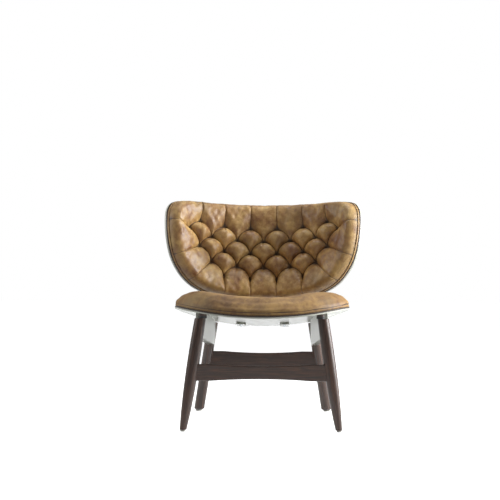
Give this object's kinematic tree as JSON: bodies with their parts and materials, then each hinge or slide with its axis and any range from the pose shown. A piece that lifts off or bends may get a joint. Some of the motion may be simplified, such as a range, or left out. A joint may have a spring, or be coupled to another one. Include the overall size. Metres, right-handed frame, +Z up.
{
  "type": "upholstered armchair",
  "caption": "Low lounge chair with a curved wraparound tufted leather back, dished leather seat, splayed turned wooden legs and waisted stretchers.",
  "frame": {"origin": "on the floor, at the middle of the chair's overall box", "axes": "+Z up, the sitter faces -Y, +X is to the right when looking at the chair from the front"},
  "size_m": [0.7151, 0.6824, 0.7898],
  "materials": {
    "walnut": "satin",
    "cream_lacquer": "satin",
    "dark_plywood": "satin",
    "tan_leather": "satin",
    "foam": "matte",
    "tuft_leather": "satin",
    "black_spacer": "matte",
    "rubber_pad": "matte",
    "glide_plastic": "matte",
    "beech_dowel": "matte",
    "bracket_steel": "satin",
    "fastener_steel": "satin"
  },
  "bodies": {
    "root": {"back_band": "tan_leather", "back_board": "dark_plywood", "back_bracket_left": "bracket_steel", "back_bracket_right": "bracket_steel", "back_cover": "tan_leather", "back_foam": "foam", "back_shell": "cream_lacquer", "bracket_back_pad_left": "rubber_pad", "bracket_back_pad_right": "rubber_pad", "bracket_seat_pad_left": "rubber_pad", "bracket_seat_pad_right": "rubber_pad", "front_glide_left": "glide_plastic", "front_glide_right": "glide_plastic", "front_leg_left": "walnut", "front_leg_right": "walnut", "front_stretcher": "walnut", "leg_stud_front_left": "fastener_steel", "leg_stud_front_right": "fastener_steel", "leg_stud_rear_left": "fastener_steel", "leg_stud_rear_right": "fastener_steel", "neck_block_left": "walnut", "neck_block_right": "walnut", "neck_spacer_left": "black_spacer", "neck_spacer_right": "black_spacer", "rail_dowel_front_left": "beech_dowel", "rail_dowel_front_right": "beech_dowel", "rail_dowel_rear_left": "beech_dowel", "rail_dowel_rear_right": "beech_dowel", "rear_glide_left": "glide_plastic", "rear_glide_right": "glide_plastic", "rear_leg_left": "walnut", "rear_leg_right": "walnut", "rear_stretcher": "walnut", "screw_back_1_left": "fastener_steel", "screw_back_1_right": "fastener_steel", "screw_back_2_left": "fastener_steel", "screw_back_2_right": "fastener_steel", "screw_seat_1_left": "fastener_steel", "screw_seat_1_right": "fastener_steel", "screw_seat_2_left": "fastener_steel", "screw_seat_2_right": "fastener_steel", "seat_band": "tan_leather", "seat_board": "dark_plywood", "seat_cover": "tan_leather", "seat_foam": "foam", "seat_shell": "cream_lacquer", "side_rail_left": "cream_lacquer", "side_rail_right": "cream_lacquer", "tufts_bottom": "tuft_leather", "tufts_lower": "tuft_leather", "tufts_middle": "tuft_leather", "tufts_top": "tuft_leather", "tufts_upper": "tuft_leather"}
  },
  "joints": []
}
